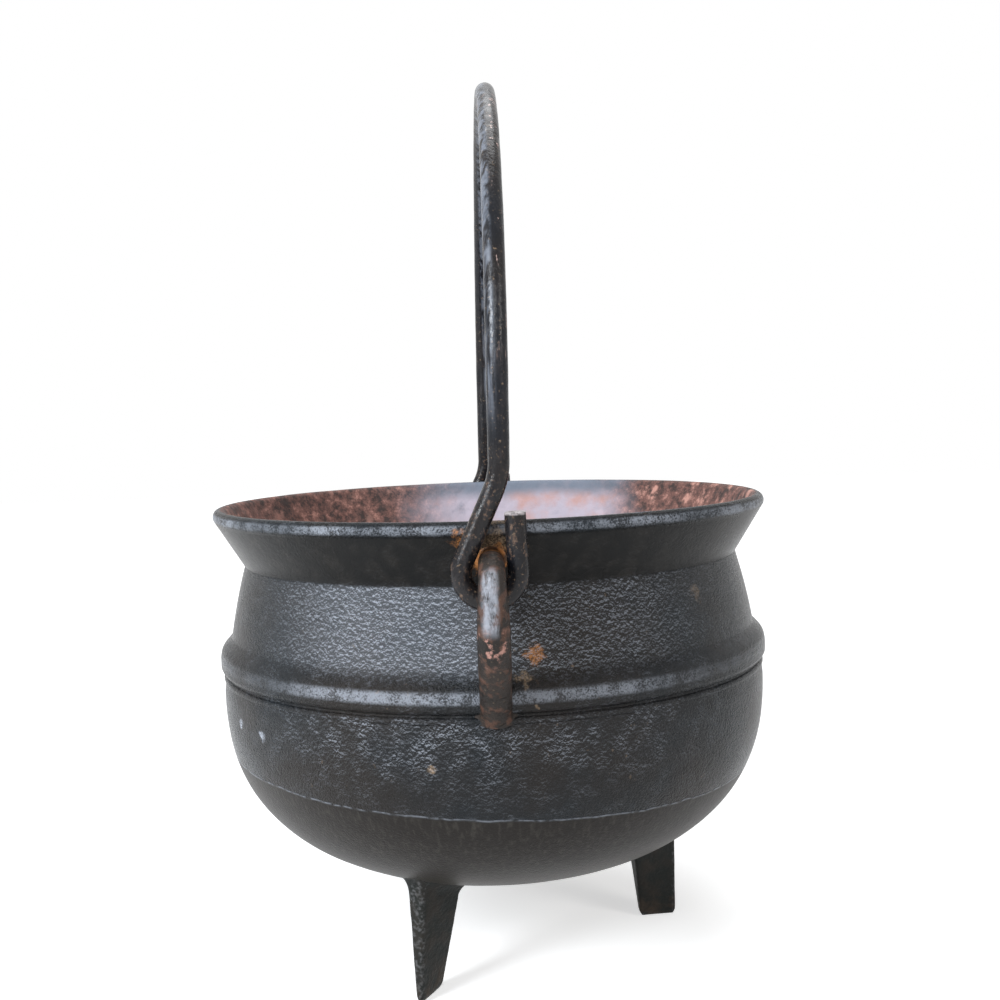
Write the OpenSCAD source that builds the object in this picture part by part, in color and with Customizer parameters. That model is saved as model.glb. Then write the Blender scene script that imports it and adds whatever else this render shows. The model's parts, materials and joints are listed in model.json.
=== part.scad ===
// Three-legged bean pot: a cast iron pot on three keel-shaped legs, with a forged bail
// hooked round the top arms of two cast ears. Millimetres, standing on z = 0.
// The ears lie on the Y axis, and the bail swings about the line through their top arms.

/* [Pot body] */
// Height of the rim above the ground
rim_height = 188; // [170:1:230]
// Outside radius of the belly at its widest
belly_radius = 113.4; // [100:0.2:130]
// Drop from the rim to the belly's widest level
belly_drop = 74; // [70:1:82]
// Depth from the belly's widest level to the underside of the bottom
belly_depth = 79.2; // [65:0.2:86]
// Fullness of the belly's curve, 2 for an ellipse and more for a squarer one
belly_fullness = 2.51; // [2:0.01:3]
// How far the neck's crease lies in from the belly's widest
neck_in = 10.4; // [7:0.2:14]
// Drop from the rim to the neck's crease
neck_drop = 23.6; // [20:0.2:27]
// How far the shoulder lies in from the belly's widest where it meets the rib
shoulder_in = 3.7; // [2:0.1:6]
// How far the shoulder swells beyond a straight cone
shoulder_swell = 0.5; // [0:0.1:1]
// Thickness of the cast wall
wall = 4; // [3:0.1:6]

/* [Rim] */
// Overhang of the rim beyond the neck's crease
rim_overhang = 12; // [9:0.2:15]
// Radius of the rounded lip
lip_round = 2.9; // [2:0.1:3.6]

/* [Ribs] */
// Height of the shoulder rib's top edge above the belly's widest level
rib_rise = 21; // [18:0.5:26]
// Height of the shoulder rib's band
rib_height = 13; // [8:0.5:15]
// How far the shoulder rib stands out of the wall behind it
rib_proud = 3.2; // [1.6:0.1:4.4]
// How far the wall just under the shoulder rib lies in from the belly's widest
band_in = 1.2; // [0:0.1:1.8]
// Height of the fine bead under the shoulder rib
bead_height = 2.6; // [1.6:0.2:3.2]
// How far the fine bead stands out of the wall
bead_proud = 0.9; // [0.4:0.1:1.4]
// Plain groove between the shoulder rib and the fine bead
bead_gap = 1.2; // [0.8:0.1:2]

/* [Legs] */
// Turn from one leg to the next
leg_turn = 120; // [112:1:124]
// Turn of the first leg from the front ear, about the pot's axis
leg_start = -25.35; // [-40:0.05:-15]
// Radius of the legs' outer edge
leg_radius = 77; // [66:0.5:84]
// Depth of a foot, towards the pot's axis
foot_depth = 16.4; // [12:0.2:22]
// Width of a foot at its outer edge
foot_outer = 3.8; // [3.4:0.2:7]
// Width of a foot at its inner edge
foot_inner = 4.6; // [3.4:0.2:9]
// Depth of a leg where it enters the belly
root_depth = 21.5; // [16:0.5:26]
// Width of a leg's outer edge where it enters the belly
root_outer = 9; // [5:0.2:12]
// Width of a leg's inner edge where it enters the belly
root_inner = 33; // [16:0.5:36]
// Rounding of a leg's edges
leg_round = 1.2; // [1:0.1:1.6]
// Height of the rounding round the sole of a foot
sole_rise = 3; // [1:0.2:5]
// How far the sole's flat is set in from the foot's sides
sole_inset = 0.8; // [0.4:0.1:0.9]
// Flare of a leg's root onto the belly
root_flare = 4; // [1:0.5:7]

/* [Ears] */
// Drop from the rim to the middle of an ear's top arm
arm_drop = 14.2; // [13:0.1:16]
// Diameter of an ear's top arm
arm_d = 9.2; // [7:0.1:9.4]
// Radius of an ear's elbow, to the middle of its bar
elbow_radius = 6; // [5.2:0.1:9]
// Diameter of an ear's bar at its thick lower end
bar_d = 11.4; // [9.4:0.1:11.6]
// Length of an ear's upright bar below the elbow
bar_length = 16; // [15:0.5:20]
// Radius of the bend where the bar turns in to the belly
bar_bend = 12; // [8:0.5:16]
// Slope of the bar's lower end, from upright
bar_slope = 36; // [28:1:42]

/* [Bail] */
// Diameter of the bail's rod
rod_d = 7.7; // [6.5:0.1:7.9]
// Clearance between the rim and the bail's rod as it swings past
rim_gap = 0.65; // [0.4:0.05:1.5]
// Height of the arch's top, to the middle of the rod, above the pivot
bail_height = 179; // [150:1:200]
// Sideways place of the front leg from the pivot
front_shift = 3.1; // [1:0.1:5]
// Sideways place of the back leg from the pivot
back_shift = -1.1; // [-2:0.1:3]
// Lean of the whole bail from upright
bail_lean = 0.73; // [-4:0.01:4]

/* [Bail eyes] */
// Slack of an eye round the ear's arm, all round
eye_slack = 1.05; // [1:0.05:2]
// Sideways place of the round end's centre from the pivot
eye_shift = -0.6; // [-0.8:0.1:-0.4]
// Drop from the pivot to the round end's centre
eye_drop = 2.6; // [1.5:0.1:4]
// Slope of the rod where it comes down into the eye
eye_slope = 24; // [20:0.5:27]
// Radius of the bend between a leg and its eye
knee_radius = 25; // [15:1:30]
// Slope of the cut end over the ear
tip_slope = 2.5; // [0:0.5:4]
// Length of the straight cut end
tip_length = 19.5; // [12:0.5:21]

/* [Hidden] */
$fn = 96;

// Least running clearance between the bail and the casting
play = 0.35;

// How far a straight length laps into the bends at its ends, and how much a bend is drawn thin
lap = 0.2;
bend_thin = 0.05;

// Points along half of the shoulder, the belly's curve and the lip
shoulder_steps = 6;
belly_steps = 26;
lip_steps = 10;
rib_steps = 14;

// Outside radii, from the neck's crease up to the rim and down to the belly
neck_radius = belly_radius - neck_in;
rim_radius = neck_radius + rim_overhang;
shoulder_radius = belly_radius - shoulder_in;
band_radius = belly_radius - band_in;
rib_radius = (shoulder_radius + band_radius) / 2 + rib_proud;

// Levels above the ground
z_neck = rim_height - neck_drop;
z_belly = rim_height - belly_drop;
z_rib_top = z_belly + rib_rise;
z_rib_bottom = z_rib_top - rib_height;
z_bead_top = z_rib_bottom - bead_gap;
z_bead_bottom = z_bead_top - bead_height;
z_bottom = z_belly - belly_depth;
z_pivot = rim_height - arm_drop;

// Middle of the rod in the bail's legs and eyes, out from the pot's axis
bail_plane = max(rim_radius, rib_radius) + rim_gap + rod_d / 2;
bail_span = 2 * bail_plane;

// Round end of an eye, to the middle of the rod, and where an arm turns down clear of it
eye_radius = arm_d / 2 + rod_d / 2 + eye_slack;
elbow_start = bail_plane + rod_d / 2 + play;

iron = [0.17, 0.18, 0.20];
rim_iron = [0.13, 0.13, 0.14];
leg_iron = [0.12, 0.13, 0.12];
ear_iron = [0.22, 0.18, 0.17];
rod_iron = [0.16, 0.16, 0.18];

// Radius of a superellipse quarter at an angle, with its height beside it
function quarter(reach, depth, angle, fullness) = [
    reach * pow(cos(angle), 2 / fullness),
    -depth * pow(sin(angle), 2 / fullness)
];

// Shoulder from the neck's crease down to the rib, set in by a thickness
function shoulder(inset) = [for (i = [0 : shoulder_steps]) let (t = i / shoulder_steps)
    [neck_radius - inset + (shoulder_radius - neck_radius) * t + 4 * shoulder_swell * t * (1 - t),
     z_neck + (z_rib_top - z_neck) * t]];

// Belly from its widest level to the middle of the bottom, set in by a thickness
function belly(inset) = [for (i = [0 : belly_steps]) let (angle = 90 * i / belly_steps)
    let (p = quarter(belly_radius - inset, belly_depth - inset, angle, belly_fullness))
    [i == belly_steps ? 0 : p[0], z_belly + p[1]]];

// Radius of the plain wall between the rib's foot and the belly's widest level
function band_at(z) = band_radius
    + (belly_radius - band_radius) * (z_rib_bottom - z) / (z_rib_bottom - z_belly);

// Whole side of the pot under the neck, from the crease down to the middle of the bottom
function side(inset) = concat(shoulder(inset), [for (z = [z_rib_bottom, z_bead_top, z_bead_bottom])
    [band_at(z) - inset, z]], belly(inset));

// Flare from the neck's crease up to the lip and round it
lip_centre = [rim_radius - lip_round, rim_height - lip_round];
flare_run = lip_centre - [neck_radius, z_neck];
flare_angle = atan2(flare_run[1], flare_run[0]) - asin(lip_round / norm(flare_run));
inner_run = lip_centre - [neck_radius - wall, z_neck];
inner_angle = atan2(inner_run[1], inner_run[0]) + asin(lip_round / norm(inner_run));
lip = [for (i = [0 : lip_steps])
    let (a = flare_angle - 90 + (inner_angle - flare_angle + 180) * i / lip_steps)
    lip_centre + lip_round * [cos(a), sin(a)]];
rim_outline = concat([[neck_radius, z_neck]], lip, [[neck_radius - wall, z_neck]]);

// Shoulder rib, standing out of the straight band of wall behind it
rib_outline = concat(
    [for (i = [0 : rib_steps])
        let (t = 1 - 2 * i / rib_steps)
        let (z = (z_rib_top + z_rib_bottom) / 2 + t * rib_height / 2)
        let (back = shoulder_radius + (band_radius - shoulder_radius) * i / rib_steps)
        [back + rib_proud * pow(1 - pow(abs(t), 2.4), 1 / 2.4), z]]
);

// Fine bead under the rib, as a half round
bead_outline = [for (i = [0 : rib_steps])
    let (a = 90 - 180 * i / rib_steps)
    let (z = (z_bead_top + z_bead_bottom) / 2 + sin(a) * bead_height / 2)
    [band_at(z) + bead_proud * cos(a), z]];

// Filled pot, for cutting ears and legs to its outer skin, from the lip down to the bottom
module pot_filled() {
    lip_down = [for (i = [lip_steps : -1 : 0]) lip[i]];
    rib_down = [for (i = [1 : rib_steps]) rib_outline[i]];
    skin = concat(lip_down, shoulder(0), rib_down, bead_outline, belly(0));
    rotate_extrude() polygon(concat([[0, lip_down[0][1]]], skin));
}

module bowl() {
    inside = side(wall);
    lined = [for (i = [len(inside) - 1 : -1 : 0]) inside[i]];
    color(iron) rotate_extrude() polygon(concat(side(0), lined));
}

module rim() {
    color(rim_iron) rotate_extrude() polygon(rim_outline);
}

module shoulder_rib() {
    color(iron) rotate_extrude() polygon(rib_outline);
}

module fine_bead() {
    color(iron) rotate_extrude() polygon(bead_outline);
}

// Straight length of round bar along +Z, lapped into the bends at its ends, with what
// follows placed at its end
module run(length, r1, r2, before = lap, after = lap) {
    cylinder(h = length, r1 = r1, r2 = r2);
    translate([0, 0, -before]) cylinder(h = before + lap, r = r1);
    translate([0, 0, length - lap]) cylinder(h = after + lap, r = r2);
    translate([0, 0, length]) children();
}

// Bend that starts along +Z and turns towards +X, or towards -X for a negative angle
module bend(radius, angle, r) {
    side_turn = angle < 0 ? 180 : 0;
    a = abs(angle);
    rotate([0, 0, side_turn]) {
        translate([radius, 0, 0]) rotate([90, 0, 180]) rotate_extrude(angle = a) {
            translate([radius, 0]) circle(r = r - bend_thin);
        }
        translate([radius * (1 - cos(a)), 0, radius * sin(a)]) rotate([0, a, 0]) {
            rotate([0, 0, -side_turn]) children();
        }
    }
}

// Ear at the front: arm out of the flare, elbow, upright bar, then a slope into the belly
module ear() {
    arm_root = neck_radius - wall / 2;
    tail_length = (elbow_start + elbow_radius - band_radius) / sin(bar_slope) + bar_d / 2;
    color(ear_iron) difference() {
        translate([0, -arm_root, z_pivot]) rotate([0, 0, -90]) rotate([0, 90, 0]) {
            run(elbow_start - arm_root, arm_d / 2, arm_d / 2, 0, 0)
                bend(elbow_radius, 90, arm_d / 2)
                    run(bar_length, arm_d / 2, bar_d / 2)
                        bend(bar_bend, bar_slope, bar_d / 2)
                            run(tail_length, bar_d / 2, bar_d / 2);
        }
        pot_filled();
    }
}

module ear_front() {
    ear();
}

module ear_back() {
    rotate([0, 0, 180]) ear();
}

// One level of a leg: four round edges, wider towards the pot's axis
module leg_slice(z, outer_radius, depth, outer_width, inner_width, inset) {
    for (side_sign = [-1, 1]) {
        translate([side_sign * (outer_width / 2 - leg_round), -(outer_radius - leg_round), z])
            cylinder(h = 0.1, r = leg_round - inset, $fn = 24);
        translate([side_sign * (inner_width / 2 - leg_round), -(outer_radius - depth + leg_round), z])
            cylinder(h = 0.1, r = leg_round - inset, $fn = 24);
    }
}

// Leg in front, tapering to its foot, with its root flared onto the belly and cut to it
module leg() {
    root_z = z_belly - belly_depth / 2;
    flare_z = z_bottom + root_flare;
    root_share = flare_z / root_z;
    flare_outer = foot_outer + (root_outer - foot_outer) * root_share;
    flare_inner = foot_inner + (root_inner - foot_inner) * root_share;
    flare_depth = foot_depth + (root_depth - foot_depth) * root_share;
    color(leg_iron) difference() {
        union() {
            hull() {
                leg_slice(0, leg_radius, foot_depth, foot_outer, foot_inner, sole_inset);
                leg_slice(sole_rise, leg_radius, foot_depth, foot_outer, foot_inner, 0);
                leg_slice(root_z, leg_radius, root_depth, root_outer, root_inner, 0);
            }
            hull() {
                leg_slice(flare_z, leg_radius, flare_depth, flare_outer, flare_inner, 0);
                leg_slice(root_z, leg_radius + root_flare, root_depth + 2 * root_flare,
                    root_outer + 2 * root_flare, root_inner + 2 * root_flare, 0);
            }
        }
        pot_filled();
    }
}

module leg_front_left() {
    rotate([0, 0, leg_start]) leg();
}

module leg_right() {
    rotate([0, 0, leg_start + leg_turn]) leg();
}

module leg_back_left() {
    rotate([0, 0, leg_start + 2 * leg_turn]) leg();
}

// Height over the pivot where a leg of the bail passes into its eye
function knee_height(shift) = -eye_drop + eye_radius * sin(eye_slope)
    + slope_length(shift) * cos(eye_slope) + knee_radius * sin(eye_slope);

// Length of the sloping rod between a leg's knee and the round end of its eye
function slope_length(shift) = (shift - knee_radius * (1 - cos(eye_slope))
    - eye_shift + eye_radius * cos(eye_slope)) / sin(eye_slope);

// Frame of the bail: its pivot at the origin, its legs along +Z
module bail_frame() {
    translate([0, 0, z_pivot]) rotate([0, bail_lean, 0]) children();
}

module bail_arch() {
    r = rod_d / 2;
    skew = front_shift - back_shift;
    arch_radius = norm([bail_span, skew]) / 2;
    arch_base = bail_height - arch_radius;
    color(rod_iron) bail_frame() {
        translate([front_shift, -bail_plane, knee_height(front_shift)])
            run(arch_base - knee_height(front_shift), r, r, 0, lap)
                rotate([0, 0, 90 + atan(skew / bail_span)]) bend(arch_radius, 180, r)
                    run(arch_base - knee_height(back_shift), r, r, lap, 0);
    }
}

// One eye, from the knee down, round under the ear's arm and up to the cut end
module bail_eye(shift, plane) {
    r = rod_d / 2;
    color(rod_iron) bail_frame() {
        translate([shift, plane, knee_height(shift)]) rotate([180, 0, 0])
            bend(knee_radius, -eye_slope, r)
                run(slope_length(shift), r, r)
                    bend(eye_radius, 180 + eye_slope + tip_slope, r)
                        run(tip_length, r, r, lap, 0);
    }
}

module bail_eye_front() {
    bail_eye(front_shift, -bail_plane);
}

module bail_eye_back() {
    bail_eye(back_shift, bail_plane);
}

bowl();
rim();
shoulder_rib();
fine_bead();
ear_front();
ear_back();
leg_front_left();
leg_right();
leg_back_left();
bail_arch();
bail_eye_front();
bail_eye_back();
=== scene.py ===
import json
import math

import bmesh
import bpy
import numpy as np
from bpy.props import FloatProperty, FloatVectorProperty, IntProperty, PointerProperty
from bpy.types import Operator, Panel, PropertyGroup
from mathutils import Matrix, Vector


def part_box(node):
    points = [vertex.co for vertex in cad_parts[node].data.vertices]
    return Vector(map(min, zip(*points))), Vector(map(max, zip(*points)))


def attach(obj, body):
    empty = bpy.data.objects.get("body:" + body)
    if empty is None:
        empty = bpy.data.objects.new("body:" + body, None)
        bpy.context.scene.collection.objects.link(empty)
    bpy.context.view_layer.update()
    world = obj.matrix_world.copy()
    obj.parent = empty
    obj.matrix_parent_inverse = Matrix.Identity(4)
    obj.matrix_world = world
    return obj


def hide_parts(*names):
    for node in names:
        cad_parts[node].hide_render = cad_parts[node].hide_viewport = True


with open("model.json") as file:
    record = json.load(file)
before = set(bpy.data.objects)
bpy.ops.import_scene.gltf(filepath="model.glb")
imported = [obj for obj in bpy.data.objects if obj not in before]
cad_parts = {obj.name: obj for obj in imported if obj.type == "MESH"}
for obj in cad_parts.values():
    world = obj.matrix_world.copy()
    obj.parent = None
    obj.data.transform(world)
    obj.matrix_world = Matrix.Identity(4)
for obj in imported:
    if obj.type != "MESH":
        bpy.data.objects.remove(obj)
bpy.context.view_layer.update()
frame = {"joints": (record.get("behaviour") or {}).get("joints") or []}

bl_info = {
    "name": "Three-legged bean pot",
    "version": (1, 0, 0),
    "blender": (4, 5, 0),
    "location": "3D View > Sidebar > Bean pot",
    "description": "Builds a sand-cast cooking pot with its ears, legs and forged bail",
    "category": "Add Mesh",
}

MM = 0.001
RIM_LOW, RIM_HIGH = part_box("rim")
BOWL_LOW, BOWL_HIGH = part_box("bowl")
RIB_LOW, RIB_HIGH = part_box("shoulder_rib")
BEAD_LOW, BEAD_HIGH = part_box("fine_bead")
PIVOT = Vector(frame["joints"][0]["pos_m"])

# The fillets end this far under the plain skin, because the uneven skin lies lower
SUNK_SKIN = 0.55 * MM
X_AXIS, Y_AXIS, Z_AXIS = Vector((1, 0, 0)), Vector((0, 1, 0)), Vector((0, 0, 1))


def length(name, description, default):
    """A size in metres."""
    return FloatProperty(name=name, description=description, default=default, unit="LENGTH", precision=5)


def angle(name, description, degrees):
    """An angle, given here in degrees."""
    return FloatProperty(name=name, description=description, default=math.radians(degrees),
                         subtype="ANGLE", unit="ROTATION")


def colour(name, description, red, green, blue):
    """A plain colour of a finish."""
    return FloatVectorProperty(name=name, description=description, default=(red, green, blue),
                               subtype="COLOR", min=0, max=1)


def share(name, description, default):
    """A number without a unit."""
    return FloatProperty(name=name, description=description, default=default)


class BodySizes(PropertyGroup):
    """Sizes of the cast body."""

    rim_radius: length("Rim radius", "Outside radius of the rim", RIM_HIGH.x)
    rim_level: length("Rim level", "Height of the rim above the ground", RIM_HIGH.z)
    lip_round: length("Lip rounding", "Radius of the rounded lip", 2.9 * MM)
    neck_radius: length("Neck radius", "Outside radius of the crease under the flare", 103 * MM)
    neck_level: length("Neck level", "Height of the crease under the flare", RIM_LOW.z)
    shoulder_radius: length("Shoulder radius", "Outside radius where the shoulder meets the rib", 109.7 * MM)
    shoulder_swell: length("Shoulder swell", "How far the shoulder swells beyond a cone", 0.5 * MM)
    rib_reach: length("Rib reach", "How far the shoulder rib stands out of the wall", 3.4 * MM)
    band_radius: length("Band radius", "Outside radius of the wall just under the rib", 112.2 * MM)
    bead_proud: length("Bead height", "How far the fine bead stands out of the wall", 0.9 * MM)
    belly_radius: length("Belly radius", "Outside radius of the belly at its widest", BOWL_HIGH.x)
    belly_level: length("Belly level", "Height of the belly's widest place", 114 * MM)
    belly_fullness: share("Belly fullness", "2 for an ellipse and more for a squarer curve", 2.51)
    wall: length("Wall", "Thickness of the cast wall", 4 * MM)
    turns: IntProperty(name="Facets round", description="Facets round the pot's axis", default=440)


class SkinSizes(PropertyGroup):
    """Sizes of the unevenness that a sand mould leaves."""

    sag: length("Sag", "Depth of the slow unevenness of the casting", 0.5 * MM)
    sag_size: length("Sag size", "Width of the slow unevenness", 34 * MM)
    grain: length("Grain", "Depth of the mould's coarse grain", 0.12 * MM)
    grain_size: length("Grain size", "Width of the mould's coarse grain", 5 * MM)
    peel: length("Peel", "Depth of the fine grain in the finish", 1.15 * MM)
    peel_size: length("Peel size", "Width of the fine grain in the finish", 1.15 * MM)


class EarSizes(PropertyGroup):
    """Sizes of the two ears."""

    arm: length("Arm", "Thickness of the top arm", 9.2 * MM)
    elbow_start: length("Elbow start", "Where the arm turns down, from the pot's axis", 123.7 * MM)
    elbow_radius: length("Elbow radius", "Radius of the elbow to the middle of the bar", 6 * MM)
    bar: length("Bar", "Thickness of the bar's lower end", 11.4 * MM)
    bar_length: length("Bar length", "Length of the upright bar", 16 * MM)
    bend_radius: length("Bend radius", "Radius of the bend towards the belly", 12 * MM)
    slope: angle("Slope", "Slope of the lower end from upright", 36)
    arm_fillet: length("Arm fillet", "Rounding where the arm grows out of the flare", 2.4 * MM)
    foot_fillet: length("Foot fillet", "Rounding where the bar grows out of the belly", 3.2 * MM)


class LegSizes(PropertyGroup):
    """Sizes of the three legs."""

    first_turn: angle("First leg", "Turn of the first leg from the front ear", -25.35)
    radius: length("Outer edge", "Radius of the legs' outer edges", 77 * MM)
    depth: length("Depth", "Depth of a foot towards the pot's axis", 16.4 * MM)
    root_depth: length("Root depth", "Depth of a leg at the belly", 21.5 * MM)
    outer_width: length("Outer width", "Width of a foot's outer edge", 3.4 * MM)
    outer_growth: share("Outer growth", "Widening of the outer edge towards the belly", 0.085)
    inner_width: length("Inner width", "Width of a foot's inner edge", 4.2 * MM)
    inner_growth: share("Inner growth", "Widening of the inner edge towards the belly", 0.38)
    rounding: length("Rounding", "Rounding of the edges and of the sole", 1.5 * MM)
    fillet: length("Fillet", "Rounding where a leg grows out of the belly", 5 * MM)


class BailSizes(PropertyGroup):
    """Sizes of the forged bail."""

    rod: length("Rod", "Thickness of the rod", 7.7 * MM)
    eye_rod: length("Eye rod", "Thickness of the rod in the eyes", 7.5 * MM)
    plane: length("Plane", "Middle of the rod's legs from the pot's axis", 119.5 * MM)
    height: length("Height", "Top of the arch above the pivot, to the rod's middle", 179 * MM)
    front_shift: length("Front shift", "Sideways place of the front leg", 3.1 * MM)
    back_shift: length("Back shift", "Sideways place of the back leg", -1.1 * MM)
    lean: angle("Lean", "Lean of the whole bail", 0.73)
    eye_radius: length("Eye radius", "Radius of an eye to the rod's middle", 9.5 * MM)
    eye_shift: length("Eye shift", "Sideways place of an eye's centre", -0.6 * MM)
    eye_drop: length("Eye drop", "Drop from the pivot to an eye's centre", 2.6 * MM)
    slope: angle("Slope", "Slope of the rod where it comes down into the eye", 24)
    knee_radius: length("Knee radius", "Radius of the bend above an eye", 25 * MM)
    tip_slope: angle("Tip slope", "Slope of the cut end", 2.5)
    tip_length: length("Tip length", "Length of the straight cut end", 19.5 * MM)


class IronColours(PropertyGroup):
    """Colours of the iron and its rust."""

    black: colour("Black", "Blue-black of the oiled casting", 0.0065, 0.0092, 0.0118)
    brown: colour("Brown black", "Brown-black of the sooty places", 0.0120, 0.0098, 0.0086)
    olive: colour("Olive", "Olive grey of the scoured bottom", 0.036, 0.033, 0.028)
    # Also laid as painted sheen on the shoulder and under the rib, and as painted highlights on the grain,
    # the lip and the rib.
    dust_and_sheen: colour("Dust", "Pale dust and bare metal in the grain", 0.42, 0.455, 0.52)
    rust: colour("Rust", "Orange rust", 0.42, 0.17, 0.05)
    tan: colour("Tan rust", "Pale tan rust", 0.44, 0.31, 0.20)
    red: colour("Red rust", "Red-brown rust inside the pot", 0.175, 0.092, 0.078)
    salmon: colour("Salmon rust", "Rubbed salmon rust", 0.50, 0.27, 0.22)
    haze: colour("Haze", "Pale lavender film inside the pot", 0.44, 0.40, 0.47)
    slate: colour("Slate", "Blue-grey film inside the pot", 0.17, 0.20, 0.25)
    flare_dark: colour("Flare, dark", "Matt black under the flare", 0.010, 0.0098, 0.0095)
    flare_pale: colour("Flare, pale", "Paler places under the flare", 0.020, 0.018, 0.016)
    crust: colour("Crust", "Dark crust inside the pot", 0.050, 0.038, 0.036)
    ear_brown: colour("Ear brown", "Warm brown scale of the ears", 0.022, 0.016, 0.013)
    ear_rust: colour("Ear rust", "Red-brown rust of the ears", 0.085, 0.042, 0.028)
    # Bare metal on the elbow, also laid as a painted highlight there.
    ear_bare_and_highlight: colour("Ear, bare", "Bare metal that the bail rubs on the elbow", 0.34, 0.36, 0.41)
    leg_green: colour("Leg green", "Green-black scale of the legs", 0.013, 0.015, 0.014)
    leg_brown: colour("Leg brown", "Brown-black scale of the legs", 0.024, 0.021, 0.018)
    leg_speckle: colour("Leg speckle", "Grey specks on the legs' outer edges", 0.16, 0.16, 0.165)
    foot_brown: colour("Foot brown", "Brown wear at the feet", 0.07, 0.05, 0.036)
    rod_blue: colour("Rod blue", "Blue-black scale of the rod", 0.008, 0.009, 0.012)
    rod_brown: colour("Rod brown", "Brown-black scale of the rod", 0.012, 0.010, 0.010)
    rod_scale: colour("Rod scale", "Grey scale of the rod", 0.034, 0.029, 0.031)
    # Painted highlight down the rod's front leg.
    rod_highlight: colour("Rod, brushed", "Brushed streak down the rod", 0.26, 0.29, 0.35)
    rod_bare: colour("Rod, bare", "Salmon bare places of the rod", 0.50, 0.36, 0.33)
    eye_rust: colour("Eye rust", "Brown rust by the eyes", 0.20, 0.125, 0.085)
    tip_bare: colour("Tip, bare", "Bare metal at the cut ends", 0.42, 0.38, 0.39)
    crown_bare: colour("Crown, bare", "Bare patch on top of the arch", 0.72, 0.42, 0.36)


class StageSizes(PropertyGroup):
    """The camera, the lamps and the floor."""

    camera_reach: length("Camera reach", "Distance of the camera from the pot's axis", 520.1 * MM)
    camera_level: length("Camera level", "Height of the camera above the ground", 224.8 * MM)
    camera_turn: angle("Camera turn", "Turn of the camera about the pot's axis", 0.12)
    pan: angle("Pan", "Turn of the view to the right of the pot's axis", 0.54013)
    tilt: angle("Tilt", "Turn of the view below the horizon", 4.23422)
    roll: angle("Roll", "Roll of the camera", -1.89620)
    lens: share("Lens", "Focal length in millimetres on a 36 mm frame", 44.04)
    floor_size: length("Floor size", "Side of the floor", 6.0)


GROUPS = {
    "pot_body": BodySizes,
    "pot_skin": SkinSizes,
    "pot_ears": EarSizes,
    "pot_legs": LegSizes,
    "pot_bail": BailSizes,
    "pot_colours": IronColours,
    "pot_stage": StageSizes,
}


class Nodes:
    """Adds nodes to a tree and links them, so that a tree reads as the steps it takes."""

    def __init__(self, tree):
        self.tree = tree

    def add(self, kind, inputs=None, **settings):
        made = self.tree.nodes.new(kind)
        for name, value in settings.items():
            setattr(made, name, value)
        for name, value in (inputs or {}).items():
            self.feed(made, name, value)
        return made

    def feed(self, made, name, value):
        if isinstance(name, int):
            socket = made.inputs[name]
        else:
            socket = next(s for s in made.inputs if s.enabled and s.name == name)
        if isinstance(value, bpy.types.NodeSocket):
            self.tree.links.new(value, socket)
        elif socket.type == "RGBA" and len(value) == 3:
            socket.default_value = (*value, 1)
        else:
            socket.default_value = value

    def math(self, operation, *values, clamp=False):
        inputs = dict(enumerate(values))
        return self.add("ShaderNodeMath", inputs, operation=operation, use_clamp=clamp).outputs[0]

    def vector(self, operation, *values):
        made = self.add("ShaderNodeVectorMath", operation=operation)
        for index, value in enumerate(values):
            self.feed(made, "Scale" if operation == "SCALE" and index == 1 else index, value)
        return made.outputs["Value" if operation in ("LENGTH", "DISTANCE", "DOT_PRODUCT") else "Vector"]

    def noise(self, place, size, seed=0.0, detail=2.0, roughness=0.5, distortion=0.0):
        """Even noise from 0 to 1 whose lumps are about as wide as size."""
        scale = self.math("DIVIDE", 1, size) if isinstance(size, bpy.types.NodeSocket) else 1 / size
        inputs = {"Vector": place, "W": seed, "Scale": scale, "Detail": detail,
                  "Roughness": roughness, "Distortion": distortion}
        return self.add("ShaderNodeTexNoise", inputs, noise_dimensions="4D").outputs[0]

    def between(self, value, low, high, start=0.0, end=1.0):
        """Runs smoothly from start to end while value goes from low to high."""
        made = self.add("ShaderNodeMapRange", interpolation_type="SMOOTHSTEP")
        for name, fed in (("Value", value), ("From Min", low), ("From Max", high),
                          ("To Min", start), ("To Max", end)):
            self.feed(made, name, fed)
        return made.outputs[0]

    def mix(self, factor, first, second):
        made = self.add("ShaderNodeMix", data_type="RGBA")
        for name, value in (("Factor", factor), ("A", first), ("B", second)):
            self.feed(made, name, value)
        return next(s for s in made.outputs if s.enabled)

    def blend(self, factor, first, second):
        """Mixes two numbers."""
        made = self.add("ShaderNodeMix", data_type="FLOAT")
        for name, value in (("Factor", factor), ("A", first), ("B", second)):
            self.feed(made, name, value)
        return next(s for s in made.outputs if s.enabled)

    def band(self, value, start, full, fade, end):
        """1 while value is between full and fade, and 0 before start and after end."""
        return self.math("MULTIPLY", self.between(value, start, full), self.between(value, end, fade))

    def lay(self, shade, over, mask, strength):
        """Lays a colour over a shade where the mask is, no stronger than said."""
        return self.mix(self.math("MULTIPLY", mask, strength), shade, over)

    def spot(self, place, centre, radius, ragged):
        """A patch round a point, ragged by a noise, from 0 outside to 1 in the middle."""
        apart = self.vector("DISTANCE", place, centre)
        wavy = self.math("MULTIPLY_ADD", ragged, radius * 3.0, self.math("SUBTRACT", apart, radius * 1.5))
        return self.between(wavy, radius, radius * 0.35)


def new_tree(name, inputs):
    """A Geometry Nodes tree with a Geometry output and the inputs that are listed."""
    tree = bpy.data.node_groups.new(name, "GeometryNodeTree")
    tree.interface.new_socket("Geometry", in_out="OUTPUT", socket_type="NodeSocketGeometry")
    for label, kind in inputs:
        tree.interface.new_socket(label, in_out="INPUT", socket_type="NodeSocket" + kind)
    steps = Nodes(tree)
    source = steps.add("NodeGroupInput")
    return tree, steps, source.outputs


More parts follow.
